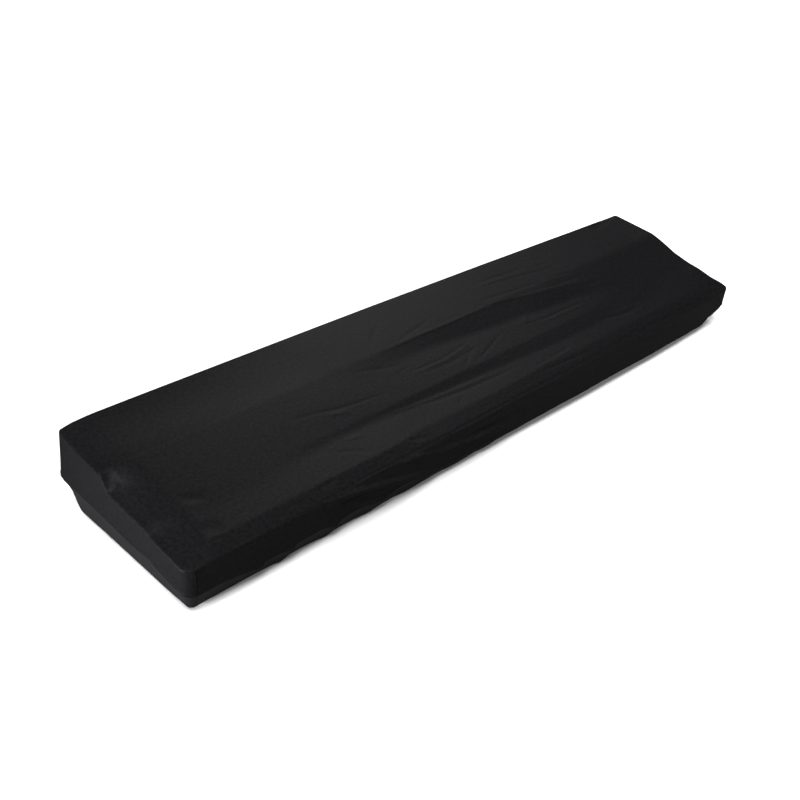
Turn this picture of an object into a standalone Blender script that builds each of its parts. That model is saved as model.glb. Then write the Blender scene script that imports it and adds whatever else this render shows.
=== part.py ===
# Stretch dust cover for a slab digital piano, drawn over the instrument it fits.
# One black knit cloth lies over the raised control panel at the back, steps down
# over the keys and falls as a short skirt round all four sides. The skirt tucks
# under at a crease and ends in a turned hem; underneath it is open and hollow.
# X runs along the keys, +Y points to the back, +Z points up. The origin is the
# underside of the cloth on the raised panel, where the instrument carries it.

import math

import bpy
import numpy as np

for old in list(bpy.data.objects):
    bpy.data.objects.remove(old, do_unlink=True)

# Driving sizes in metres
LENGTH = 1.324
DEPTH = 0.290
CLOTH = 0.0020
HEM_CLOTH = 0.0030
EDGE_RADIUS = 0.005
PANEL_LINE = 0.045
SHELF_LINE = -0.053
KEY_LINE = -0.121
MOUNT_Y = 0.090
MM = 0.001

# Radius of each vertical corner in metres, by the side of X and of Y it is on.
CORNER = ("x_side", "y_side", "radius")
CORNERS = (
    (-1, -1, 0.016),
    (1, -1, 0.008),
    (1, 1, 0.008),
    (-1, 1, 0.006),
)

# Cross sections along the cover, millimetres; heights are above the lowest hem.
# rear: back edge. panel: front edge of the raised panel. fold: where the cloth
# leaves the panel slope. foot: where that slope eases. shelf: edge above the keys.
# dip: foot of the second step. key: front edge of the keys. front: front edge.
SECTION = ("x", "rear", "panel", "fold_y", "fold", "foot_y", "foot", "shelf",
           "dip_y", "dip", "key", "front")
SECTIONS = (
    (-662, 131.0, 115.5, 40, 110.0, 29, 96.0, 88.0, -70, 82.0, 76.5, 74.5),
    (-640, 136.0, 119.0, 40, 116.0, 22, 101.0, 91.0, -72, 85.0, 78.0, 75.5),
    (-604, 137.5, 119.5, 38, 117.5, 8, 108.5, 94.0, -76, 88.5, 85.5, 76.0),
    (-480, 138.0, 119.5, 38, 117.7, 0, 108.2, 95.0, -80, 90.5, 86.5, 76.0),
    (-370, 138.0, 119.5, 38, 117.7, 4, 109.0, 95.5, -66, 92.5, 86.5, 76.0),
    (-244, 138.0, 119.0, 40, 117.5, 30, 113.0, 95.5, -68, 92.0, 86.5, 76.0),
    (-100, 138.0, 118.5, 41, 117.0, 26, 110.0, 95.5, -74, 90.5, 86.5, 76.0),
    (-20, 137.5, 118.5, 41, 117.0, 16, 107.0, 95.5, -77, 90.0, 86.5, 76.0),
    (60, 137.0, 118.5, 41, 117.0, 7, 104.5, 95.0, -80, 89.5, 86.5, 76.0),
    (148, 136.5, 118.5, 41, 116.5, 3, 103.5, 95.0, -86, 89.0, 86.5, 76.0),
    (220, 136.0, 118.5, 31, 115.0, -5, 102.0, 95.0, -88, 89.0, 86.5, 76.0),
    (300, 135.0, 119.0, 19, 112.5, -9, 101.5, 94.5, -88, 89.0, 86.5, 76.0),
    (404, 134.0, 119.5, -3, 107.0, -20, 102.0, 94.5, -90, 89.5, 86.0, 76.0),
    (520, 132.5, 120.0, 0, 107.5, -25, 101.0, 94.0, -80, 90.5, 85.5, 76.0),
    (600, 132.0, 121.0, 0, 108.0, -27, 100.5, 93.5, -78, 91.0, 85.5, 76.0),
    (662, 131.0, 123.5, 0, 109.5, -27, 101.0, 94.0, -77, 92.5, 82.5, 77.0),
)

# Skirt round the outline, millimetres. at: X or Y on that side. crease: height of
# the line where it tucks under. flare: how far it leans out there. hem: height of
# the hem. inset: how far the hem lies inside the wall, negative is outside it.
SKIRT = ("side", "at", "crease", "flare", "hem", "inset")
SKIRTS = (
    ("front", -640, 33, 0, 6.5, 8),
    ("front", -600, 31, 0, 4.5, 9),
    ("front", -550, 28, 0, 5.0, 9),
    ("front", -506, 20, 0, 1.0, 9),
    ("front", -465, 28, 0, 4.7, 9),
    ("front", -428, 23, 0, 1.5, 9),
    ("front", -385, 27, 0, 4.2, 9),
    ("front", -346, 20, 0, 1.2, 9),
    ("front", -300, 21, 0, 3.7, 9),
    ("front", -262, 18, 0, 1.5, 9),
    ("front", -146, 17, 0, 1.0, 9),
    ("front", 0, 18, 0, 3.0, 9),
    ("front", 200, 17, 0, 1.0, 9),
    ("front", 385, 15, 0, 0.0, 9),
    ("front", 570, 16, 0, 1.0, 9),
    ("front", 598, 18, 0, 2.2, 8),
    ("front", 608, 24, 0, 11.0, 5),
    ("front", 618, 30, 0, 18.5, 4),
    ("front", 646, 34, 0, 23.0, 4),
    ("right", -134, 40, 0, 29.0, 3),
    ("right", -100, 38, 0, 18.0, 6),
    ("right", -50, 40, 0, 7.0, 8),
    ("right", 60, 42, 0, 6.0, 8),
    ("right", 105, 46, 0, 12.0, 8),
    ("right", 124, 50, 1, 36.0, 4),
    ("right", 138, 56, 4, 46.0, -2),
    ("rear", 640, 58, 7, 47.0, -5),
    ("rear", 400, 60, 5, 45.0, -3),
    ("rear", 120, 57, 3, 44.0, -1),
    ("rear", -200, 61, 5, 47.0, -3),
    ("rear", -450, 57, 4, 44.0, -2),
    ("rear", -640, 57, 8, 48.0, -7),
    ("left", 141, 55, 3, 46.0, 0),
    ("left", 134, 51, 1, 39.0, 4),
    ("left", 128, 49, 0, 28.0, 7),
    ("left", 122, 48, 0, 9.0, 9),
    ("left", 112, 47, 0, 4.0, 9),
    ("left", 50, 43, 0, 5.0, 9),
    ("left", 0, 40, 0, 5.0, 9),
    ("left", -60, 38, 0, 5.0, 9),
    ("left", -110, 30, 0, 5.5, 9),
    ("left", -134, 32, 0, 6.5, 9),
)

# Soft folds and dimples, millimetres. Each runs along points of X and a depth
# coordinate: Y on the top, and on down the front face past its edge at -145.
FOLD = ("half_width", "height", "points")
FOLDS = (
    (9, 2.0, ((-450, -146), (-396, -167), (-364, -182), (-316, -192))),
    (11, 4.0, ((-440, -122), (-396, -138), (-340, -155), (-284, -172), (-228, -187))),
    (11, 3.2, ((-304, -126), (-276, -143), (-228, -158), (-164, -168), (-60, -176), (60, -178))),
    (9, 2.0, ((90, -153), (150, -158), (220, -163))),
    (12, -2.0, ((-380, -152), (-300, -163), (-240, -176))),
    (12, -1.6, ((-230, -150), (-150, -160), (-20, -166))),
    (16, 2.6, ((-588, -64), (-580, -64))),
    (14, -1.8, ((-600, -44), (-594, -44))),
)

HALF_X = LENGTH / 2
HALF_Y = DEPTH / 2
TOP_X = HALF_X - EDGE_RADIUS
TOP_Y = HALF_Y - EDGE_RADIUS
CORNER_ZONE = 0.011
SMOOTH_X = 0.012
SMOOTH_Y = 0.004


def column(rows, names, name):
    place = names.index(name)
    return np.array([row[place] for row in rows], dtype=float) * MM


def section_height(x, y):
    # Height of the cloth top above the lowest hem at one point of the plan.
    stations = column(SECTIONS, SECTION, "x")

    def at(name):
        return float(np.interp(x, stations, column(SECTIONS, SECTION, name)))

    # From the back edge to the front edge, the lines the cloth is pulled over.
    lines = [HALF_Y, PANEL_LINE, at("fold_y"), at("foot_y"), SHELF_LINE, at("dip_y"),
             KEY_LINE, -HALF_Y]
    heights = [at(name) for name in
               ("rear", "panel", "fold", "foot", "shelf", "dip", "key", "front")]
    return float(np.interp(y, lines[::-1], heights[::-1]))


def top_height(x, y):
    # The same with its edges eased by the stretch of the knit.
    total = 0.0
    for step_x, weight_x in ((-1, 0.25), (0, 0.5), (1, 0.25)):
        for step_y, weight_y in ((-1, 0.25), (0, 0.5), (1, 0.25)):
            near_x = min(max(x + step_x * SMOOTH_X, -HALF_X), HALF_X)
            near_y = min(max(y + step_y * SMOOTH_Y, -HALF_Y), HALF_Y)
            total += weight_x * weight_y * section_height(near_x, near_y)
    return total


def outline_place(side, at):
    # Distance round the square outline from its front left corner.
    if side == "front":
        return HALF_X + at
    if side == "right":
        return LENGTH + HALF_Y + at
    if side == "rear":
        return LENGTH + DEPTH + HALF_X - at
    return 2 * LENGTH + DEPTH + HALF_Y - at


def skirt_values(place):
    # Crease height, flare, hem height and inset at a place round the outline.
    loop = 2 * (LENGTH + DEPTH)
    places = [outline_place(row[0], row[1] * MM) for row in SKIRTS]
    values = []
    for name in SKIRT[2:]:
        values.append(float(np.interp(place, places, column_after_side(name), period=loop)))
    return values


def column_after_side(name):
    place = SKIRT.index(name)
    return [row[place] * MM for row in SKIRTS]


def top_corner(x, y):
    # Radius of the corner nearest a point of the plan, at the edge of the top.
    for x_side, y_side, radius in CORNERS:
        if x * x_side >= 0 and y * y_side >= 0:
            return radius - EDGE_RADIUS
    return 0.0


def rounded(x, y):
    # Moves a point of the square plan onto the plan with rounded corners.
    radius = top_corner(x, y)
    reach_x = abs(x) - (TOP_X - radius)
    reach_y = abs(y) - (TOP_Y - radius)
    if reach_x <= 0 or reach_y <= 0:
        return x, y
    part_x = reach_x / radius
    part_y = reach_y / radius
    new_x = TOP_X - radius + radius * part_x * math.sqrt(1 - part_y ** 2 / 2)
    new_y = TOP_Y - radius + radius * part_y * math.sqrt(1 - part_x ** 2 / 2)
    return math.copysign(new_x, x), math.copysign(new_y, y)


def outward(x, y):
    # Level direction straight out of the rounded outline at one of its points.
    radius = top_corner(x, y)
    out_x = x - min(max(x, radius - TOP_X), TOP_X - radius)
    out_y = y - min(max(y, radius - TOP_Y), TOP_Y - radius)
    size = math.hypot(out_x, out_y)
    return out_x / size, out_y / size


def plan_lines(half, inner):
    # Mesh lines across the plan: close together in the corners, as given between.
    zone = [half, half - 0.0015, half - 0.006, half - CORNER_ZONE]
    return [-value for value in zone] + list(inner) + zone[::-1]


def build_outer():
    # The outer face: a grid over the top and rows of points down the skirt.
    edge_in = TOP_X - CORNER_ZONE
    inner_x = np.concatenate((
        np.linspace(-edge_in, -0.604, 3)[1:],
        np.linspace(-0.604, -0.180, 20)[1:],
        np.linspace(-0.180, 0.604, 28)[1:],
        np.linspace(0.604, edge_in, 3)[1:-1],
    ))
    inner_y = [-0.121, -0.114, -0.102, -0.090, -0.077, -0.065, -0.053, -0.044, -0.028,
               -0.012, 0.003, 0.018, 0.031, 0.041, 0.049, 0.070, 0.095, 0.110, 0.121]
    lines_x = plan_lines(TOP_X, inner_x)
    lines_y = plan_lines(TOP_Y, inner_y)
    count_x = len(lines_x)
    count_y = len(lines_y)

    points = []
    depths = []
    for y in lines_y:
        for x in lines_x:
            place_x, place_y = rounded(x, y)
            points.append((place_x, place_y, top_height(place_x, place_y)))
            depths.append(place_y)

    faces = []
    for j in range(count_y - 1):
        for i in range(count_x - 1):
            first = j * count_x + i
            faces.append((first, first + 1, first + 1 + count_x, first + count_x))

    # The rim of the grid, walked round the front, right, rear and left.
    rim = [(i, 0) for i in range(count_x - 1)]
    rim += [(count_x - 1, j) for j in range(count_y - 1)]
    rim += [(i, count_y - 1) for i in range(count_x - 1, 0, -1)]
    rim += [(0, j) for j in range(count_y - 1, 0, -1)]
    above = [j * count_x + i for i, j in rim]
    on_front = [j == 0 for i, j in rim]
    hem_rows = 0

    edge_turns = (45, 90)
    wall_parts = (0.20, 0.40, 0.60, 0.80, 1.0)
    tuck_parts = (0.45, 1.0)
    loops = []
    for turn in edge_turns:
        loops.append(("edge", math.radians(turn)))
    for part in wall_parts:
        loops.append(("wall", part))
    for part in tuck_parts:
        loops.append(("tuck", part))

    for kind, amount in loops:
        below = []
        for index, (i, j) in enumerate(rim):
            top = points[j * count_x + i]
            out_x, out_y = outward(top[0], top[1])
            place = outline_place("front", lines_x[i])
            if i == count_x - 1 and j > 0:
                place = outline_place("right", lines_y[j])
            elif j == count_y - 1:
                place = outline_place("rear", lines_x[i])
            elif i == 0 and j > 0:
                place = outline_place("left", lines_y[j])
            crease, flare, hem, inset = skirt_values(place)
            edge_low = top[2] - EDGE_RADIUS
            if kind == "edge":
                reach = EDGE_RADIUS * math.sin(amount)
                height = top[2] - EDGE_RADIUS * (1 - math.cos(amount))
            elif kind == "wall":
                reach = EDGE_RADIUS + flare * amount
                height = edge_low + (crease - edge_low) * amount
            else:
                reach = EDGE_RADIUS + flare + (-inset - flare) * amount
                height = crease + (hem - crease) * amount
            points.append((top[0] + out_x * reach, top[1] + out_y * reach, height))
            depths.append(-HALF_Y - (top[2] - height) if on_front[index] else 1.0)
            below.append(len(points) - 1)
        count = len(rim)
        for index in range(count):
            after = (index + 1) % count
            faces.append((above[after], above[index], below[index], below[after]))
        above = below
    hem_rows = len(rim) * len(tuck_parts)
    return np.array(points), np.array(depths), faces, above, hem_rows


def vertex_normals(points, faces):
    # Outward direction at each point, from the faces that meet there.
    normals = np.zeros_like(points)
    for face in faces:
        across = points[face[2]] - points[face[0]]
        along = points[face[3]] - points[face[1]]
        direction = np.cross(across, along)
        for corner in face:
            normals[corner] += direction
    return normals / np.linalg.norm(normals, axis=1)[:, None]


def fold_shift(x, depth):
    # Height that the soft folds add straight out of the cloth at one point.
    total = 0.0
    for half_width, height, line in FOLDS:
        spans = [math.dist(a, b) * MM for a, b in zip(line, line[1:])]
        whole = sum(spans)
        best = None
        run = 0.0
        for (x0, d0), (x1, d1), span in zip(line, line[1:], spans):
            ax, ad = x0 * MM, d0 * MM
            bx, bd = x1 * MM, d1 * MM
            part = ((x - ax) * (bx - ax) + (depth - ad) * (bd - ad)) / span ** 2
            part = min(max(part, 0.0), 1.0)
            away = math.hypot(x - ax - part * (bx - ax), depth - ad - part * (bd - ad))
            if best is None or away < best[0]:
                best = (away, (run + part * span) / whole)
            run += span
        away, along = best
        if away >= half_width * MM:
            continue
        round_spot = whole < half_width * MM
        fade = 1.0 if round_spot else min(1.0, 4 * along, 4 * (1 - along))
        total += height * MM * fade * 0.5 * (1 + math.cos(math.pi * away / (half_width * MM)))
    return total


def build_cover():
    points, depths, faces, hem_loop, hem_rows = build_outer()
    normals = vertex_normals(points, faces)
    for index, (point, depth) in enumerate(zip(points, depths)):
        points[index] = point + normals[index] * fold_shift(point[0], depth)
    normals = vertex_normals(points, faces)

    # The inner face lies one cloth thickness in, and further in along the hem.
    total = len(points)
    thickness = np.full(total, CLOTH)
    thickness[total - hem_rows:] = HEM_CLOTH
    inner = points - normals * thickness[:, None]
    every = np.vstack((points, inner))
    every[:, 1] -= MOUNT_Y
    every[:, 2] -= top_height(0.0, MOUNT_Y) - CLOTH

    all_faces = list(faces)
    all_faces += [tuple(total + corner for corner in reversed(face)) for face in faces]
    count = len(hem_loop)
    for index in range(count):
        a = hem_loop[index]
        b = hem_loop[(index + 1) % count]
        all_faces.append((b, a, a + total, b + total))

    mesh = bpy.data.meshes.new("cover_cloth")
    mesh.from_pydata([tuple(point) for point in every], [], all_faces)
    mesh.validate()
    mesh.update()
    cover = bpy.data.objects.new("cover_cloth", mesh)
    bpy.context.scene.collection.objects.link(cover)
    for polygon in mesh.polygons:
        polygon.use_smooth = True
    mesh.set_sharp_from_angle(angle=math.radians(40))
    return cover


def knit_material():
    material = bpy.data.materials.new("black_knit")
    material.use_nodes = True
    surface = material.node_tree.nodes["Principled BSDF"]
    surface.inputs["Base Color"].default_value = (0.010, 0.010, 0.011, 1.0)
    surface.inputs["Roughness"].default_value = 0.85
    surface.inputs["Metallic"].default_value = 0.0
    return material


cover_cloth = build_cover()
cover_cloth.data.materials.append(knit_material())
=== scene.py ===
# Looks of a stretch knit dust cover for a slab digital piano.
# Flat places are on the cloth: X along the keys, Y to the back, both in millimetres
# from the middle of the cover, and on past its edges down the skirt.
import math

import bpy
import numpy as np
from mathutils import Matrix, Vector


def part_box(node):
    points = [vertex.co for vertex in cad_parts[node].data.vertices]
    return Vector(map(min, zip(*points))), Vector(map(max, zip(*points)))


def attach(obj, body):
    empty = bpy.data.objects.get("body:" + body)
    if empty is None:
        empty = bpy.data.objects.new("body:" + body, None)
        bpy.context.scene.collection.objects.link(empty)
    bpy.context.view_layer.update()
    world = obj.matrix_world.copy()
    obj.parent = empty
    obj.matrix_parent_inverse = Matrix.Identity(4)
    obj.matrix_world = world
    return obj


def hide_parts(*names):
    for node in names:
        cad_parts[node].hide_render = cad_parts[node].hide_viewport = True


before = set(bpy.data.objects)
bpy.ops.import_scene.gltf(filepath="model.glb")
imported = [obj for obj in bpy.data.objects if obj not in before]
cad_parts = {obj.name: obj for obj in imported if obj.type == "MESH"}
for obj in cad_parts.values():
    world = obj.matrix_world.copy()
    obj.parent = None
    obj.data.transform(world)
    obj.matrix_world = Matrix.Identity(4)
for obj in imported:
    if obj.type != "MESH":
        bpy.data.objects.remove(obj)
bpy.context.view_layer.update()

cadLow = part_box("cover_cloth")[0]
mm = 0.001
tiny = 1e-9    # keeps a division from zero


# Small helpers

def toLinear(hexColour):
    # the standard curve from screen colours to light
    channels = [int(hexColour[i:i + 2], 16) / 255 for i in (1, 3, 5)]
    linear = [c / 12.92 if c <= 0.04045 else ((c + 0.055) / 1.055) ** 2.4 for c in channels]
    return (*linear, 1.0)


def addNode(tree, kind, settings=None, inputs=None, links=None):
    # settings are the node's own, inputs are socket values, links are (input, from node, output)
    node = tree.nodes.new(kind)
    for name, value in (settings or {}).items():
        setattr(node, name, value)
    for name, value in (inputs or {}).items():
        node.inputs[name].default_value = value
    for name, source, output in links or ():
        tree.links.new(source.outputs[output], node.inputs[name])
    return node


def column(rows, names, name):
    # one named column of a table
    return np.array([row[names.index(name)] for row in rows], dtype=float)


def smoothCurve(at, knots, values, period=None):
    # a curve through the values that never overshoots them, so folds stay where they are put
    knots = np.asarray(knots, dtype=float)
    values = np.asarray(values, dtype=float)
    if period:
        knots = np.concatenate((knots[-3:] - period, knots, knots[:3] + period))
        values = np.concatenate((values[-3:], values, values[:3]))
    spans = np.diff(knots)
    slopes = np.diff(values) / spans
    tangents = np.zeros_like(values)
    same = slopes[:-1] * slopes[1:] > 0
    left, right = 2 * spans[1:] + spans[:-1], spans[1:] + 2 * spans[:-1]
    inner = np.zeros_like(same, dtype=float)
    inner[same] = (left + right)[same] / (left[same] / slopes[:-1][same] + right[same] / slopes[1:][same])
    tangents[1:-1] = inner
    at = np.clip(at, knots[0], knots[-1])
    place = np.clip(np.searchsorted(knots, at) - 1, 0, len(spans) - 1)
    span = spans[place]
    t = (at - knots[place]) / span
    rise = t * t * (3 - 2 * t)
    return (values[place] * (1 - rise) + values[place + 1] * rise
            + span * tangents[place] * t * (1 - t) ** 2
            + span * tangents[place + 1] * t * t * (t - 1))


def ramp(distance, soft):
    # 0 before the line, the distance after it, and a round bend of the given half width between
    bend = (distance + soft) ** 2 / (4 * soft)
    return np.where(distance <= -soft, 0.0, np.where(distance >= soft, distance, bend))


# Camera: where the photograph was taken from, found from the cover's corners

cameraView = dict(
    place=(-1.1925, -1.0035, 0.8135),   # metres, in the part's own frame
    azimuth=-48.99,                     # degrees, to the left of straight on
    elevation=32.65,                    # degrees, looking down
    roll=6.34,                          # degrees
    focal=45.81,                        # millimetres
    sensor=36,                          # millimetres, its width
)


def makeCamera():
    data = bpy.data.cameras.new("photoCamera")
    data.sensor_width = cameraView["sensor"]
    data.lens = cameraView["focal"]
    camera = bpy.data.objects.new("photoCamera", data)
    bpy.context.scene.collection.objects.link(camera)
    turn = (Matrix.Rotation(math.radians(cameraView["azimuth"]), 4, "Z")
            @ Matrix.Rotation(math.radians(90 - cameraView["elevation"]), 4, "X")
            @ Matrix.Rotation(math.radians(cameraView["roll"]), 4, "Z"))
    camera.matrix_world = Matrix.Translation(cameraView["place"]) @ turn
    bpy.context.scene.camera = camera


makeCamera()
print("camera placed")


# The cover: one cloth over the raised panel, the keys and all four sides

cover = dict(
    length=1324,          # millimetres, along the keys
    depth=290,            # front edge to back edge
    panelLine=45,         # Y of the raised panel's front edge
    shelfLine=-53,        # Y of the edge above the keys
    edgeInset=3,          # where the top's mesh ends and the skirt's begins
    mountY=90,            # Y of the part's origin
    stepX=4.8,            # mesh spacing along the keys
    stepY=1.9,            # and across them
    edgeRows=5,
    wallRows=20,
    tuckRows=8,
    turnRows=4,
    wallCrowd=1.5,        # above 1 brings the wall's rows closer together towards the crease
    tuckCrowd=1.3,
    closestLines=0.45,    # mesh lines nearer than this are left out
    cornerTurns=(0, 15, 30, 45),                                          # degrees
    gatherLines=((-654, -642, 0.7), (-642, -626, 1.3), (604, 654, 2.2)),  # extra X lines, from, to, step
    hemTurn=13,           # how far the hem is turned up inside
    hemRadius=0.9,        # of the fold at the hem's edge
    hemTurns=(60, 120, 180),
    creaseSoft=2.0,       # half width of the bend where the skirt tucks under
    lipHeight=0.9,        # how far the cloth swells just above that bend
    lipWidth=2.2,
    lipAbove=1.5,
    shortestRun=1.0,      # between two lines of the cross section
    foldFade=0.6,         # how slowly a fold rises and dies away along its line
    foldEnd=0.001,        # share of a fold's length that its ends keep clear of
    flatCut=(1.50, 0.475),    # metres
    cutArea=0.66,             # square metres
)

# Each vertical corner: the side of X and the side of Y that it is on, and its radius.
corners = (
    (-1, -1, 16),
    (1, -1, 7),
    (1, 1, 8),
    (-1, 1, 6),
)

# Cross sections, heights above the lowest hem. rear and front are the edges, panel and
# shelf the lines above, and fold, foot, dip and key are where the cloth bends. hollow is
# how far the cloth sags between the rear edge and the panel line.
sectionNames = ("x", "rear", "hollow", "panel", "foldY", "fold", "footY", "foot", "shelf",
                "dipY", "dip", "keyY", "key", "front")
sections = (
    (-662, 131.0, 2.4, 115.5, 40, 110.0, 29, 96.0, 88.0, -70, 82.0, -121, 76.5, 74.5),
    (-640, 135.2, 4.6, 118.3, 42, 115.4, 17, 104.2, 92.2, -72, 85.6, -121, 79.0, 75.4),
    (-604, 137.5, 5.2, 119.5, 38, 117.5, 6, 110.0, 96.5, -76, 91.0, -120, 84.6, 76.0),
    (-480, 138.0, 4.4, 119.5, 38, 117.9, 0, 109.5, 97.0, -78, 91.3, -120, 84.8, 76.0),
    (-370, 138.0, 2.6, 119.5, 38, 118.0, 2, 109.8, 96.5, -64, 93.0, -120, 84.6, 76.0),
    (-300, 138.0, 1.4, 119.2, 39, 117.8, 5, 110.2, 96.0, -64, 92.2, -121, 84.3, 76.0),
    (-244, 138.0, 0.3, 119.0, 40, 117.5, 10, 110.4, 95.5, -65, 91.3, -117, 84.0, 76.0),
    (-198, 138.0, 0, 118.8, 40, 117.3, 14, 110.4, 95.5, -67, 90.4, -114, 83.4, 76.0),
    (-100, 138.0, 0, 118.5, 41, 117.0, 18, 109.6, 95.5, -70, 89.5, -115, 83.4, 76.0),
    (-20, 137.5, 0, 118.5, 41, 117.0, 15, 107.6, 95.5, -73, 88.9, -116, 83.5, 76.0),
    (60, 137.0, 0, 118.5, 41, 117.0, 7, 105.2, 95.0, -76, 88.3, -115, 83.5, 76.0),
    (148, 136.5, 0, 118.5, 41, 116.5, 3, 104.0, 95.0, -81, 87.2, -116, 83.2, 76.0),
    (220, 136.0, 0, 118.5, 31, 115.0, -5, 102.4, 95.0, -83, 87.1, -116, 83.2, 76.0),
    (300, 135.0, 0, 119.0, 19, 112.5, -9, 101.9, 94.5, -83, 87.0, -115, 83.2, 76.0),
    (404, 134.0, 0, 119.5, -3, 107.2, -20, 102.2, 94.5, -85, 87.4, -117, 83.2, 76.0),
    (520, 132.5, 0, 120.0, 0, 107.5, -25, 101.0, 94.0, -78, 89.0, -118, 83.4, 76.0),
    (600, 132.0, 0, 121.0, 0, 108.5, -27, 102.5, 96.0, -78, 91.5, -118, 84.1, 76.0),
    (662, 131.0, 0, 123.5, 0, 111.5, -27, 104.5, 98.5, -77, 95.5, -119, 85.0, 77.5),
)

# How softly the cloth bends over each of those lines, as half widths.
bendNames = ("x", "panel", "fold", "foot", "shelf", "dip", "key")
bends = (
    (-662, 4, 3, 6, 6, 7, 8),
    (-612, 8, 12, 18, 12, 12, 8),
    (-598, 8, 12, 18, 12, 12, 1.8),
    (-480, 9, 14, 22, 12, 14, 2.0),
    (-370, 8, 12, 16, 4, 7, 2.4),
    (-244, 6, 6, 7, 3, 5, 3.0),
    (-20, 4, 4, 7, 2.5, 5, 2.6),
    (148, 3, 3, 6, 2.5, 4, 2.4),
    (300, 5, 3, 6, 2.5, 4, 2.6),
    (404, 7, 5, 9, 3, 8, 3.0),
    (600, 9, 10, 14, 6, 12, 5.0),
    (662, 8, 12, 12, 8, 10, 6.0),
)

# How round the top edge is: tight over the left end and slack towards the right.
edgeNames = ("side", "at", "round")
edges = (
    ("front", -640, 3.0),
    ("front", -470, 3.5),
    ("front", -400, 6.0),
    ("front", -250, 7.5),
    ("front", 0, 8.0),
    ("front", 150, 9.0),
    ("front", 300, 12.0),
    ("front", 600, 13.0),
    ("front", 648, 6.0),
    ("right", -134, 6.0),
    ("right", -105, 15.0),
    ("right", -20, 16.0),
    ("right", 20, 8.0),
    ("right", 60, 4.5),
    ("right", 138, 4.0),
    ("rear", 640, 4.0),
    ("rear", -640, 3.2),
    ("left", 141, 3.0),
    ("left", -134, 3.0),
)

# The skirt round the outline. at is X or Y on that side, crease the height where it
# tucks under, flare how far it leans out there, hem the hem's height, and inset how
# far the hem lies inside the wall, negative outside it.
skirtNames = ("side", "at", "crease", "flare", "hem", "inset")
skirts = (
    ("front", -640, 32, 0, 6.5, 8),
    ("front", -620, 32, 0, 5.6, 9),
    ("front", -588, 29, 0, 5.2, 9),
    ("front", -565, 25, 0, 5.5, 9),
    ("front", -547, 21, 0, 5.0, 9),
    ("front", -538, 27, 0, 4.6, 9),
    ("front", -519, 27, 0, 3.6, 9),
    ("front", -505, 25, 0, 0.8, 9),
    ("front", -494, 22, 0, 4.0, 9),
    ("front", -486, 28, 0, 4.8, 9),
    ("front", -460, 29, 0, 5.0, 9),
    ("front", -442, 29, 0, 3.4, 9),
    ("front", -426, 25, 0, 1.6, 9),
    ("front", -413, 20, 0, 3.0, 9),
    ("front", -402, 27, 0, 4.2, 9),
    ("front", -374, 29, 0, 4.0, 9),
    ("front", -358, 28, 0, 2.4, 9),
    ("front", -343, 24, 0, 1.2, 9),
    ("front", -325, 20, 0, 2.6, 9),
    ("front", -306, 23, 0, 3.8, 9),
    ("front", -294, 27, 0, 3.9, 9),
    ("front", -276, 28, 0, 2.4, 9),
    ("front", -260, 27, 0, 1.4, 9),
    ("front", -222, 20, 0, 2.6, 9),
    ("front", -195, 19, 0, 3.4, 9),
    ("front", -145, 17, 0, 0.8, 9),
    ("front", -106, 18, 0, 2.8, 9),
    ("front", -85, 17, 1, 1.2, 9),
    ("front", -45, 18, 1, 3.0, 9),
    ("front", 100, 18, 3, 2.6, 9),
    ("front", 210, 17, 4, 0.6, 9),
    ("front", 255, 17, 4, 2.6, 9),
    ("front", 350, 16, 4, 0.8, 9),
    ("front", 385, 15, 4, 0.0, 9),
    ("front", 415, 16, 4, 1.0, 9),
    ("front", 450, 15, 3, 0.0, 9),
    ("front", 486, 16, 3, 1.4, 9),
    ("front", 515, 16, 2, 0.4, 9),
    ("front", 570, 16, 1, 1.2, 9),
    ("front", 598, 18, 0, 2.4, 8),
    ("front", 608, 24, 0, 11.0, 5),
    ("front", 618, 30, 0, 18.0, 4),
    ("front", 634, 33, 0, 20.0, 4),
    ("front", 648, 36, 0, 24.0, 4),
    ("right", -134, 40, 0, 29.0, 3),
    ("right", -100, 38, 0, 18.0, 6),
    ("right", -60, 40, 0, 7.0, 8),
    ("right", 20, 42, 0, 5.5, 8),
    ("right", 60, 42, 0, 7.0, 8),
    ("right", 105, 46, 0, 12.0, 8),
    ("right", 124, 50, 1, 36.0, 4),
    ("right", 138, 56, 4, 46.0, -2),
    ("rear", 640, 58, 7, 47.0, -5),
    ("rear", 400, 60, 5, 45.0, -3),
    ("rear", 120, 57, 3, 44.0, -1),
    ("rear", -200, 61, 5, 47.0, -3),
    ("rear", -450, 57, 4, 44.0, -2),
    ("rear", -640, 57, 8, 48.0, -7),
    ("left", 141, 55, 3, 46.0, 0),
    ("left", 134, 51, 1, 39.0, 4),
    ("left", 128, 49, 0, 28.0, 7),
    ("left", 122, 48, 0, 9.0, 9),
    ("left", 112, 48, 0, 4.0, 9),
    ("left", 50, 46, 0, 5.0, 9),
    ("left", 10, 43.5, 0, 5.0, 9),
    ("left", -28, 42, 0, 5.0, 9),
    ("left", -62, 44, 0, 5.0, 9),
    ("left", -72, 41, 0, 5.0, 9),
    ("left", -94, 37, 0, 5.2, 9),
    ("left", -134, 33, 0, 6.5, 9),
)

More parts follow.
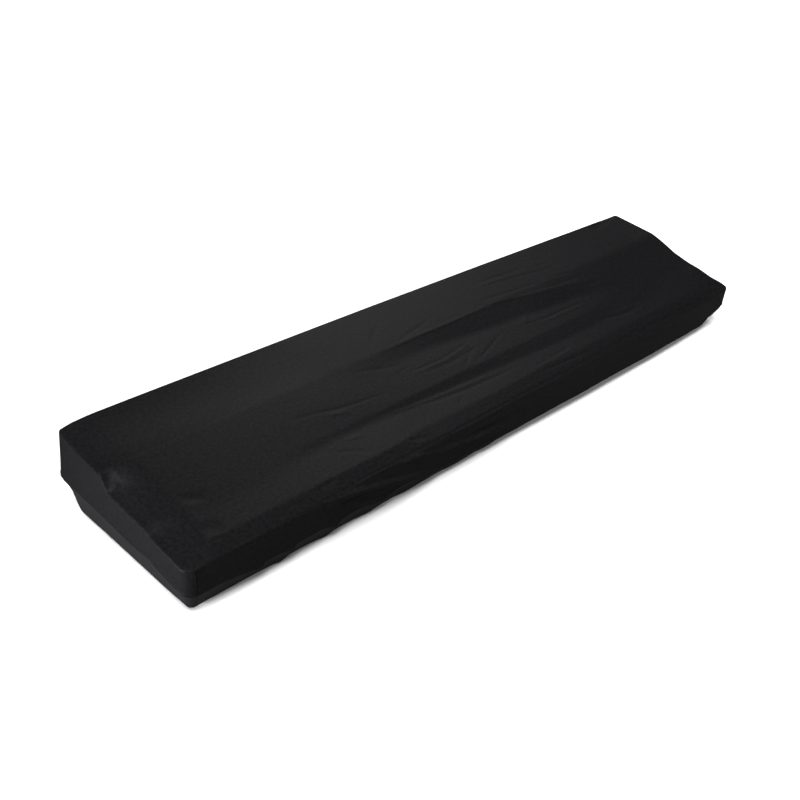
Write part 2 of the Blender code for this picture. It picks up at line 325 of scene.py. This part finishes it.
# Folds and creases, each as half width, height, sharp, lean and the points
# of its line. Places go on past the edges, down by as much as the cloth is below the top
# edge. A positive height is a ridge and a negative one a trough. sharp goes from 0, a soft
# swell, to 1, a narrow crest. lean above 0 widens the flank on the left of the line's
# direction and narrows the other, and below 0 the other way round.
folds = (
    # long diagonals that peel off the front edge and run down to the hem
    (7, 4.5, 0.7, -0.3, ((-468, -153), (-438, -155), (-419, -163), (-395, -174), (-375, -180),
                         (-355, -187), (-338, -197))),
    (9.5, 8.5, 0.8, -0.3, ((-444, -153), (-412, -153.5), (-377, -157), (-342, -165), (-312, -173),
                           (-282, -180), (-240, -191), (-210, -198))),
    (7, -1.2, 0.3, 0.0, ((-380, -146), (-340, -150), (-300, -153), (-260, -162), (-224, -172))),
    (8, 6.5, 0.8, -0.3, ((-296, -152), (-262, -154), (-235, -158), (-200, -166), (-160, -172),
                         (-130, -176), (-90, -179), (-50, -184), (-12, -190))),
    (6, -1.6, 0.3, 0.0, ((-215, -150), (-167, -152), (-132, -156), (-62, -153), (0, -151), (60, -152))),
    (6, 2.4, 0.3, -0.2, ((-140, -158), (-97, -162), (-62, -160), (0, -162), (45, -164))),
    (5, -1.0, 0.4, 0.0, ((-130, -168), (-90, -170), (-40, -168), (10, -171))),
    (5, 1.0, 0.4, 0.3, ((-60, -168), (-20, -166), (40, -172), (80, -177))),
    (4, -0.8, 0.5, 0.0, ((60, -155), (80, -156), (125, -154), (165, -156), (204, -158))),
    (6, 1.5, 0.3, 0.4, ((84, -156), (110, -159), (150, -162), (204, -168))),
    (5, -0.9, 0.3, 0.0, ((150, -164), (175, -167), (214, -174))),
    (9, 1.6, 0.2, 0.3, ((215, -166), (260, -172), (330, -176), (420, -181))),
    (10, 1.3, 0.2, 0.3, ((280, -152), (350, -158), (430, -160), (520, -168))),
    (9, -1.2, 0.2, 0.0, ((240, -160), (320, -166), (400, -168), (500, -176))),
    (9, 1.2, 0.2, 0.3, ((430, -150), (500, -155), (560, -163), (600, -172))),
    # the short sharp crease from the keys' edge down to the front
    (3.5, -0.9, 0.8, 0.0, ((-305, -120), (-292, -134), (-281, -147))),
    (4, 0.5, 0.4, 0.0, ((-301, -129), (-290, -139), (-276, -149))),
    # on the strip between the keys' edge and the front
    (4, -0.45, 0.5, 0.0, ((-256, -121), (-234, -127), (-212, -130))),
    (4, -0.5, 0.5, 0.0, ((50, -119), (90, -122), (150, -125.5), (228, -130))),
    (4, -0.5, 0.5, 0.0, ((262, -143), (300, -136.5), (350, -129.5), (396, -125))),
    (3.5, 0.5, 0.4, 0.0, ((-196, -141), (-184, -144), (-172, -149))),
    (6, -0.6, 0.3, 0.0, ((-440, -127), (-424, -126), (-400, -124))),
    # over the keys
    (3.5, -0.4, 0.5, 0.0, ((100, -100), (145, -103), (176, -100))),
    (4, 0.4, 0.4, 0.0, ((60, -110), (120, -111), (180, -108))),
    (5, 0.4, 0.3, 0.0, ((-268, -63), (-212, -67), (-162, -71), (-112, -75), (-50, -78), (10, -80))),
    (5, -0.5, 0.3, 0.0, ((-170, -77), (-112, -83), (-62, -87), (0, -89), (40, -90))),
    (6, -0.6, 0.4, 0.0, ((292, -73), (312, -79), (340, -87), (370, -92), (404, -91))),
    (6, 0.5, 0.3, 0.0, ((350, -80), (372, -83), (402, -81))),
    (3.5, -0.4, 0.5, 0.0, ((-204, -112), (-189, -96), (-178, -86))),
    (3.5, -0.4, 0.5, 0.0, ((-124, -110), (-107, -96), (-97, -88))),
    (5, -0.4, 0.3, 0.0, ((-376, -78), (-345, -94), (-312, -112))),
    (5, 0.4, 0.3, 0.0, ((-340, -71), (-326, -75), (-300, -78))),
    # between the panel and the keys
    (4, -0.45, 0.5, 0.0, ((-386, -5), (-342, -10), (-312, -18), (-277, -23), (-237, -26), (-206, -30))),
    (3.5, -0.4, 0.5, 0.0, ((-236, -1), (-235, -14), (-236, -28), (-247, -43))),
    (5, 0.5, 0.3, 0.0, ((-325, -23), (-312, -26), (-290, -32))),
    (4, -0.4, 0.5, 0.0, ((-220, 28), (-172, 15), (-146, 9))),
    (3.5, -0.35, 0.5, 0.0, ((-164, -6), (-148, -3), (-132, 0))),
    (4, 0.4, 0.4, 0.0, ((-134, -17), (-62, -19), (-30, -14), (10, -7))),
    (4, -0.35, 0.4, 0.0, ((-140, -12), (-62, -14), (-28, -9), (14, -2))),
    (4, -0.35, 0.4, 0.0, ((-118, -26), (-50, -27), (0, -21), (30, -20))),
    (4, -0.4, 0.5, 0.0, ((-42, -46), (-28, -37), (-12, -27), (8, -20))),
    (4, -0.35, 0.4, 0.0, ((-20, -48), (30, -34), (64, -22), (96, -11))),
    (3.5, 0.4, 0.4, 0.0, ((146, -18), (158, -10), (174, -2))),
    (4, -0.55, 0.5, 0.0, ((146, -20), (175, -22), (200, -24.5), (265, -25.5), (300, -27), (326, -32))),
    (4, 0.4, 0.4, 0.0, ((196, -31), (260, -32), (310, -34))),
    (6, -0.6, 0.3, 0.0, ((340, 3), (376, 0), (418, -3))),
    (8, 0.9, 0.3, 0.0, ((586, -32), (602, -44), (618, -54))),
    # on the panel
    (4, -0.5, 0.6, 0.0, ((-98, 108), (-117, 92), (-137, 79), (-147, 69), (-162, 57))),
    (4, -0.4, 0.5, 0.0, ((-8, 69), (-52, 60), (-77, 57), (-110, 50))),
    (4, -0.5, 0.5, 0.0, ((150, 105), (175, 102), (200, 104), (215, 100), (276, 98))),
    (4, -0.5, 0.5, 0.0, ((268, 81), (310, 74), (340, 72))),
    (4, -0.4, 0.5, 0.0, ((306, 89), (352, 87))),
    (4, -0.4, 0.5, 0.0, ((108, 62), (160, 59), (225, 54), (285, 49))),
    (4, -0.4, 0.5, 0.0, ((314, 48), (368, 41))),
    (4, -0.4, 0.5, 0.0, ((304, 29), (374, 26))),
    (4, -0.4, 0.4, 0.0, ((276, 136), (304, 123), (330, 117))),
    (4, -0.4, 0.4, 0.0, ((338, 127), (378, 108), (400, 103))),
    (4, -0.3, 0.4, 0.0, ((262, 122), (310, 110), (356, 98))),
    (5, 0.5, 0.3, 0.0, ((150, 96), (210, 92), (290, 86))),
    (5, 0.5, 0.4, 0.0, ((128, 50), (165, 43), (200, 37), (235, 31), (265, 28),
                        (300, 23), (350, 16), (392, 9))),
    (5, 0.5, 0.3, 0.0, ((-150, 46), (-117, 45), (-60, 46), (20, 45), (110, 46))),
    (9, -0.5, 0.2, 0.0, ((490, 40), (500, 20), (524, -6))),
    (14, -1.6, 0.1, 0.0, ((548, 126), (590, 134), (640, 139))),
    # pressed in and pushed up at the left end
    (13, -1.1, 0.0, 0.0, ((-600, -46), (-585, -51), (-568, -55))),
    (17, -1.5, 0.0, 0.0, ((-628, -99), (-606, -101), (-580, -104))),
    (4.5, -0.7, 0.3, 0.0, ((-612, -120), (-602, -122), (-590, -124))),
    (12, 0.8, 0.0, 0.0, ((-652, -128), (-630, -118), (-604, -113))),
    # the seam at the front left corner, and what it gathers
    (1.7, -2.2, 0.5, 0.0, ((-648.8, -140), (-649.2, -158), (-649.0, -176), (-648.8, -206))),
    (2.2, 1.5, 0.3, 0.0, ((-652.0, -147), (-652.3, -158), (-651.8, -168))),
    (2.4, -1.8, 0.4, 0.0, ((-646.4, -153), (-645.8, -160), (-646.4, -167))),
    (3, 1.4, 0.4, 0.0, ((-644, -146), (-637.5, -156), (-637.5, -167), (-646, -184))),
    (3, 0.9, 0.4, 0.0, ((-635, -148), (-630, -159), (-632, -171), (-641, -186))),
    # gathers at the front right corner
    (3.5, -1.2, 0.4, 0.0, ((606, -152), (622, -161), (638, -171), (652, -181))),
    (4, 1.3, 0.4, 0.0, ((600, -157), (620, -167), (638, -178), (650, -186))),
    (4, 1.1, 0.4, 0.0, ((612, -146), (628, -153), (646, -163))),
    (3.5, -0.9, 0.4, 0.0, ((620, -143), (636, -148), (652, -156))),
)

halfX, halfY = cover["length"] / 2, cover["depth"] / 2
topX, topY = halfX - cover["edgeInset"], halfY - cover["edgeInset"]


def loopPlace(side, at):
    # distance round the square outline from its front left corner
    starts = dict(front=halfX + at, right=cover["length"] + halfY + at,
                  rear=cover["length"] + cover["depth"] + halfX - at,
                  left=2 * cover["length"] + cover["depth"] + halfY - at)
    return starts[side]


def roundLoop(places, rows, names, name):
    # a table's column, followed smoothly right round the outline
    loop = 2 * (cover["length"] + cover["depth"])
    knots = [loopPlace(row[0], row[1]) for row in rows]
    return smoothCurve(places, knots, column([row[1:] for row in rows], names[1:], name), loop)


def profileHeights(x, y):
    # height of the top at flat places, as straight runs bent softly at each line
    stations = column(sections, sectionNames, "x")
    softStations = column(bends, bendNames, "x")

    def at(name):
        return smoothCurve(x, stations, column(sections, sectionNames, name))

    def soft(name):
        return smoothCurve(x, softStations, column(bends, bendNames, name))

    places = [halfY, cover["panelLine"] + 0 * x, at("foldY"), at("footY"),
              cover["shelfLine"], at("dipY"), at("keyY"), -halfY]
    heights = [at(name) for name in ("rear", "panel", "fold", "foot", "shelf", "dip", "key", "front")]
    slopes = [(heights[i] - heights[i + 1]) / np.maximum(places[i] - places[i + 1], cover["shortestRun"])
              for i in range(len(places) - 1)]
    total = heights[0] + slopes[0] * (y - halfY)
    for i, name in enumerate(("panel", "fold", "foot", "shelf", "dip", "key")):
        total = total + (slopes[i] - slopes[i + 1]) * ramp(places[i + 1] - y, soft(name))
    behind = np.clip((y - cover["panelLine"]) / (halfY - cover["panelLine"]), 0, 1)
    return total - at("hollow") * 4 * behind * (1 - behind)


def edgeDrop(x, y):
    # how far the rounding of the top edge has lowered the cloth
    total = np.zeros_like(x)
    for side, at, inside in (("front", x, y + halfY), ("right", y, halfX - x),
                             ("rear", x, halfY - y), ("left", y, x + halfX)):
        around = roundLoop(loopPlace(side, at), edges, edgeNames, "round")
        depth = np.clip(around - inside, 0, around - cover["edgeInset"])
        total += around - np.sqrt(around ** 2 - depth ** 2)
    return total


def cornerRadii(x, y):
    # radius of the nearest corner, at the edge of the top
    radii = np.zeros_like(x)
    for xSide, ySide, radius in corners:
        radii = np.where((x * xSide >= 0) & (y * ySide >= 0), radius - cover["edgeInset"], radii)
    return radii


def roundCorners(x, y):
    # moves places of the square plan onto the plan with round corners
    radius = cornerRadii(x, y)
    partX = np.clip((np.abs(x) - topX + radius) / radius, 0, 1)
    partY = np.clip((np.abs(y) - topY + radius) / radius, 0, 1)
    newX = np.abs(x) - radius * partX * (1 - np.sqrt(1 - partY ** 2 / 2))
    newY = np.abs(y) - radius * partY * (1 - np.sqrt(1 - partX ** 2 / 2))
    return np.copysign(newX, x), np.copysign(newY, y)


def outwardFrom(x, y):
    # level direction straight out of the outline
    radius = cornerRadii(x, y)
    outX = x - np.clip(x, radius - topX, topX - radius)
    outY = y - np.clip(y, radius - topY, topY - radius)
    size = np.maximum(np.hypot(outX, outY), tiny)
    return outX / size, outY / size


def meshLines(half, step, extra):
    # even lines across the plan, with close ones in the corners and at the gathers
    arcs = set()
    for _, _, radius in corners:
        inner = radius - cover["edgeInset"]
        arcs.update(round(half - inner * (1 - math.sqrt(2) * math.sin(math.radians(turn))), 2)
                    for turn in cover["cornerTurns"])
    reach = min(arcs)
    even = np.linspace(-reach, reach, int(2 * reach / step) + 1)
    lines = sorted(set(np.round(even, 3)) | arcs | {-a for a in arcs} | set(extra))
    kept = [lines[0]]
    for line in lines[1:]:
        if line - kept[-1] > cover["closestLines"]:
            kept.append(line)
    kept[-1] = lines[-1]
    return np.array(kept)


def nearestOnLine(points, x, y):
    # distance to a line of points, the share of its length there, and 1 on its left or -1 on its right
    best = np.full(len(x), np.inf)
    along, side = np.zeros(len(x)), np.zeros(len(x))
    spans = [math.dist(a, b) for a, b in zip(points, points[1:])]
    run = 0.0
    for (ax, ay), (bx, by), span in zip(points, points[1:], spans):
        part = np.clip(((x - ax) * (bx - ax) + (y - ay) * (by - ay)) / span ** 2, 0, 1)
        away = np.hypot(x - ax - part * (bx - ax), y - ay - part * (by - ay))
        nearer = away < best
        best = np.where(nearer, away, best)
        along = np.where(nearer, (run + part * span) / sum(spans), along)
        cross = (bx - ax) * (y - ay) - (by - ay) * (x - ax)
        side = np.where(nearer, np.sign(cross), side)
        run += span
    return best, along, side


def foldShift(x, y):
    # how far the folds lift the cloth off its even shape, in millimetres
    total = np.zeros_like(x)
    for halfWidth, height, sharp, lean, points in folds:
        widest = halfWidth * (1 + abs(lean))
        lows, highs = np.min(points, axis=0) - widest, np.max(points, axis=0) + widest
        near = np.nonzero((x > lows[0]) & (x < highs[0]) & (y > lows[1]) & (y < highs[1]))[0]
        away, along, side = nearestOnLine(points, x[near], y[near])
        reach = np.clip(away / (halfWidth * (1 + lean * side)), 0, 1)
        swell = 0.5 * (1 + np.cos(np.pi * reach))
        crest = 1 - reach
        along = np.clip(along, cover["foldEnd"], 1 - cover["foldEnd"])
        fade = np.sin(np.pi * along) ** cover["foldFade"]
        total[near] += height * fade * ((1 - sharp) * swell + sharp * crest)
    return total


def vertexNormals(points, faces):
    # direction out of the cloth at each point, from the faces round it
    across = points[faces[:, 2]] - points[faces[:, 0]]
    along = points[faces[:, 3]] - points[faces[:, 1]]
    direction = np.cross(across, along)
    normals = np.zeros_like(points)
    for k in range(4):
        np.add.at(normals, faces[:, k], direction)
    return normals / np.maximum(np.linalg.norm(normals, axis=1), tiny)[:, None]


def layTop():
    # the top's mesh lines, its flat places row by row, and its faces
    gathers = np.concatenate([np.arange(*lines) for lines in cover["gatherLines"]])
    linesX = meshLines(topX, cover["stepX"], gathers)
    linesY = meshLines(topY, cover["stepY"], ())
    countX, countY = len(linesX), len(linesY)
    gridX, gridY = np.meshgrid(linesX, linesY)
    x, y = roundCorners(gridX.ravel(), gridY.ravel())
    first = (np.arange(countY - 1)[:, None] * countX + np.arange(countX - 1)).ravel()
    faces = np.column_stack((first, first + 1, first + 1 + countX, first + countX))
    return linesX, linesY, x, y, faces


def rimPoints(linesX, linesY):
    # the top's outer points in order round it, and where each is on the outline
    lastX, lastY = len(linesX) - 1, len(linesY) - 1
    rim = [(i, 0, "front") for i in range(lastX)]
    rim += [(lastX, j, "right") for j in range(lastY)]
    rim += [(i, lastY, "rear") for i in range(lastX, 0, -1)]
    rim += [(0, j, "left") for j in range(lastY, 0, -1)]
    above = np.array([j * len(linesX) + i for i, j, _ in rim])
    places = np.array([loopPlace(side, linesX[i] if side in ("front", "rear") else linesY[j])
                       for i, j, side in rim])
    return above, places


def skirtRows(places, startZ):
    # rows round the skirt, from the top's edge down to the hem and up again inside it: how
    # far out each stands, its height, and its share of the hem band's look
    crease, flare, hem, inset = (roundLoop(places, skirts, skirtNames, name) for name in skirtNames[2:])
    around = roundLoop(places, edges, edgeNames, "round")
    edgeInset, hemBend = cover["edgeInset"], cover["hemRadius"]
    firstTurn = np.arcsin(1 - edgeInset / around)
    edgeLow = startZ - around * np.cos(firstTurn)
    lean = flare / (edgeLow - crease)
    tuck = (-inset - flare) / (crease - hem)

    def wall(height):
        # how far out the skirt is at a height
        bent = (tuck - lean) * ramp(crease - height, cover["creaseSoft"])
        fromLip = (height - crease - cover["lipAbove"]) / cover["lipWidth"]
        lip = cover["lipHeight"] * np.exp(-fromLip ** 2)
        return edgeInset + lean * (edgeLow - height) + bent + lip

    rows = []
    for k in range(1, cover["edgeRows"] + 1):
        turn = firstTurn + (math.pi / 2 - firstTurn) * k / cover["edgeRows"]
        rows.append((edgeInset - around * (1 - np.sin(turn)),
                     startZ + around * (np.cos(turn) - np.cos(firstTurn))))
    for k in range(1, cover["wallRows"] + 1):
        height = crease + (edgeLow - crease) * (1 - k / cover["wallRows"]) ** cover["wallCrowd"]
        rows.append((wall(height), height))
    for k in range(1, cover["tuckRows"] + 1):
        height = crease + (hem + hemBend - crease) * (k / cover["tuckRows"]) ** cover["tuckCrowd"]
        rows.append((wall(height), height))
    # the hem turns under on itself and goes back up inside
    hemOut = wall(hem + hemBend)
    for turn in np.radians(cover["hemTurns"]):
        rows.append((hemOut - hemBend * (1 - math.cos(turn)), hem + hemBend * (1 - math.sin(turn))))
    for k in range(1, cover["turnRows"] + 1):
        height = hem + hemBend + cover["hemTurn"] * k / cover["turnRows"]
        rows.append((wall(height) - 2 * hemBend, height))
    return [(reach, height, np.clip((crease - height) / cover["creaseSoft"], 0, 1))
            for reach, height in rows]


def makeCloth(points, flat, hemBand, faces):
    # the sheet itself, with its places on the flat cut and where its hem band is
    mesh = bpy.data.meshes.new("coverCloth")
    mesh.from_pydata(points.tolist(), [], faces.tolist())
    cut = mesh.uv_layers.new(name="flatCut")
    corner = np.zeros(len(mesh.loops), dtype=np.int32)
    mesh.loops.foreach_get("vertex_index", corner)
    cut.data.foreach_set("uv", (flat[corner] * mm).ravel())
    mesh.attributes.new("hemBand", "FLOAT", "POINT").data.foreach_set("value", hemBand)
    mesh.update()
    mesh.shade_smooth()
    cloth = bpy.data.objects.new("coverCloth", mesh)
    bpy.context.scene.collection.objects.link(cloth)
    return cloth


def buildCover():
    linesX, linesY, x, y, topFaces = layTop()
    drop = edgeDrop(x, y)
    heights = profileHeights(x, y) - drop
    outX, outY = outwardFrom(x, y)
    # beside its points, each ring keeps their places on the flat cut and in the folds' table
    rings = [np.column_stack((x, y, heights))]
    flat = [np.column_stack((x, y))]
    foldPlace = [np.column_stack((x + outX * drop, y + outY * drop))]
    hemBand = [np.zeros(len(heights))]
    faces = [topFaces]

    above, places = rimPoints(linesX, linesY)
    count, total = len(above), len(heights)
    after = np.roll(np.arange(count), -1)
    startX, startY, startZ = rings[0][above].T
    outX, outY, startDrop = outX[above], outY[above], drop[above]
    down = np.zeros(count)
    lastReach, lastHeight = np.zeros(count), startZ
    for reach, height, band in skirtRows(places, startZ):
        down = down + np.hypot(reach - lastReach, height - lastHeight)
        lastReach, lastHeight = reach, height
        rings.append(np.column_stack((startX + outX * reach, startY + outY * reach, height)))
        flat.append(np.column_stack((startX + outX * down, startY + outY * down)))
        lower = np.clip(reach, 0, cover["edgeInset"]) + startZ + startDrop - height
        foldPlace.append(np.column_stack((startX + outX * lower, startY + outY * lower)))
        hemBand.append(band)
        below = total + np.arange(count)
        faces.append(np.column_stack((above[after], above, below, below[after])))
        above = below
        total += count

    points, flat, faces = np.vstack(rings), np.vstack(flat), np.vstack(faces)
    foldPlace = np.vstack(foldPlace)
    print(f"cover laid out: {len(points)} points, {2 * len(faces)} triangles")
    normals = vertexNormals(points, faces)
    points = points + normals * foldShift(foldPlace[:, 0], foldPlace[:, 1])[:, None]

    # into the part's frame, whose origin is under the cloth on the raised panel
    points = points * mm
    points[:, 1] -= cover["mountY"] * mm
    points[:, 2] += cadLow[2]
    return makeCloth(points, flat, np.concatenate(hemBand), faces)


coverCloth = buildCover()
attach(coverCloth, "root")
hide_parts("cover_cloth")
print("cover built")


# Black stretch knit of polyester and elastane, brushed by wear: matte and nearly black,
# with a fine uneven mottle and a faint sheen where its yarns lie smooth

knit = dict(
    deep="#050506",       # the mottle's darkest places
    lit="#0f0f10",        # and its lightest
    deepBelow=0.3,        # shares of the noise where those two colours start
    litAbove=0.7,
    mottle=5.0,           # millimetres, size of the cloudy patches
    mottleDetail=5.0,
    mottleRoughness=0.65,
    roughness=0.9,
    shine=0.046,          # share of the surface that is smooth yarn
    hemShine=0.105,       # the same on the hem band, stretched smooth over its elastic
    shineRoughness=0.42,
    shineIndex=1.5,       # how strongly the yarn bends light
    bump=0.0006,          # metres
    bumpStrength=0.4,
)


def makeKnit():
    material = bpy.data.materials.new("blackStretchKnit")
    material.use_nodes = True
    tree = material.node_tree
    tree.nodes.clear()
    place = addNode(tree, "ShaderNodeUVMap", dict(uv_map="flatCut"))
    grain = addNode(tree, "ShaderNodeTexNoise", None,
                    {"Scale": 1 / (knit["mottle"] * mm),
                     "Detail": knit["mottleDetail"],
                     "Roughness": knit["mottleRoughness"]},
                    [("Vector", place, "UV")])
    colour = addNode(tree, "ShaderNodeValToRGB", None, None, [("Fac", grain, "Fac")])
    deepEnd, litEnd = colour.color_ramp.elements
    deepEnd.position = knit["deepBelow"]
    deepEnd.color = toLinear(knit["deep"])
    litEnd.position = knit["litAbove"]
    litEnd.color = toLinear(knit["lit"])
    hemBand = addNode(tree, "ShaderNodeAttribute", dict(attribute_name="hemBand"))
    smooth = addNode(tree, "ShaderNodeMapRange", None,
                     {"To Min": knit["shine"], "To Max": knit["hemShine"]},
                     [("Value", hemBand, "Fac")])
    bump = addNode(tree, "ShaderNodeBump", None,
                   {"Strength": knit["bumpStrength"], "Distance": knit["bump"]},
                   [("Height", grain, "Fac")])
    # all of the shine is in the coat, and the cloth below it is matte
    surface = addNode(tree, "ShaderNodeBsdfPrincipled", None,
                      {"Roughness": knit["roughness"],
                       "Specular IOR Level": 0.0,
                       "IOR": knit["shineIndex"],
                       "Coat Roughness": knit["shineRoughness"],
                       "Coat IOR": knit["shineIndex"]},
                      [("Base Color", colour, "Color"),
                       ("Normal", bump, "Normal"),
                       ("Coat Normal", bump, "Normal"),
                       ("Coat Weight", smooth, "Result")])
    addNode(tree, "ShaderNodeOutputMaterial", None, None, [("Surface", surface, "BSDF")])
    return material


coverCloth.data.materials.append(makeKnit())
print("knit made")


# Pale floor and soft studio light

studio = dict(
    floor="#bebebe",
    floorRoughness=0.9,
    floorShine=0.1,
    floorGap=0.0006,      # metres under the lowest hem
    floorSize=40.0,       # metres
    world=0.1,            # strength of the even light from all round
)
# The wide light, in degrees: azimuth goes from the front round to the left, elevation up
# from the floor, and softness is how much of the sky it fills.
wideLight = dict(azimuth=60, elevation=72, softness=30, strength=6.3)
# Soft boxes, in metres and watts: behind gives the cloth its sheen, frontRight lights the
# folds on the front, and leftSide the skirt at the left end.
softBoxes = dict(
    behind=dict(place=(2.75, 2.38, 3.28), aim=(-0.1, -0.1, 0.0), size=(2.4, 1.7), power=245),
    frontRight=dict(place=(1.9, -2.5, 1.5), aim=(-0.1, -0.235, -0.06), size=(1.4, 1.2), power=56),
    leftSide=dict(place=(-1.05, -0.13, -0.045), aim=(-0.66, -0.17, -0.07), size=(0.18, 0.12), power=7.5),
)


def makeFloor():
    # matte white paper, rolled out flat: a plain pale ground that takes the cover's shadow
    size = studio["floorSize"] / 2
    level = cadLow[2] - studio["floorGap"]
    square = [(x, y, level) for x, y in ((-size, -size), (size, -size), (size, size), (-size, size))]
    mesh = bpy.data.meshes.new("paleFloor")
    mesh.from_pydata(square, [], [(0, 1, 2, 3)])
    floor = bpy.data.objects.new("paleFloor", mesh)
    bpy.context.scene.collection.objects.link(floor)
    material = bpy.data.materials.new("matteWhitePaper")
    material.use_nodes = True
    surface = material.node_tree.nodes["Principled BSDF"]
    surface.inputs["Base Color"].default_value = toLinear(studio["floor"])
    surface.inputs["Roughness"].default_value = studio["floorRoughness"]
    surface.inputs["Specular IOR Level"].default_value = studio["floorShine"]
    mesh.materials.append(material)


def addLamp(data, turn):
    lamp = bpy.data.objects.new(data.name, data)
    lamp.rotation_euler = turn.to_euler()
    bpy.context.scene.collection.objects.link(lamp)
    return lamp


def makeLights():
    world = bpy.data.worlds.new("softRoom")
    bpy.context.scene.world = world
    world.use_nodes = True
    background = world.node_tree.nodes["Background"]
    background.inputs["Color"].default_value = (1, 1, 1, 1)
    background.inputs["Strength"].default_value = studio["world"]
    wide = bpy.data.lights.new("wideLight", "SUN")
    wide.angle = math.radians(wideLight["softness"])
    wide.energy = wideLight["strength"]
    around, above = math.radians(wideLight["azimuth"]), math.radians(wideLight["elevation"])
    level = math.cos(above)
    toward = Vector((-math.sin(around) * level, -math.cos(around) * level, math.sin(above)))
    addLamp(wide, toward.to_track_quat("Z", "Y"))
    for name, box in softBoxes.items():
        data = bpy.data.lights.new(name, "AREA")
        data.shape = "RECTANGLE"
        data.size, data.size_y = box["size"]
        data.energy = box["power"]
        toward = Vector(box["aim"]) - Vector(box["place"])
        lamp = addLamp(data, toward.to_track_quat("-Z", "Y"))
        lamp.location = box["place"]
    bpy.context.scene.view_settings.view_transform = "Standard"


makeFloor()
makeLights()
print("studio set")
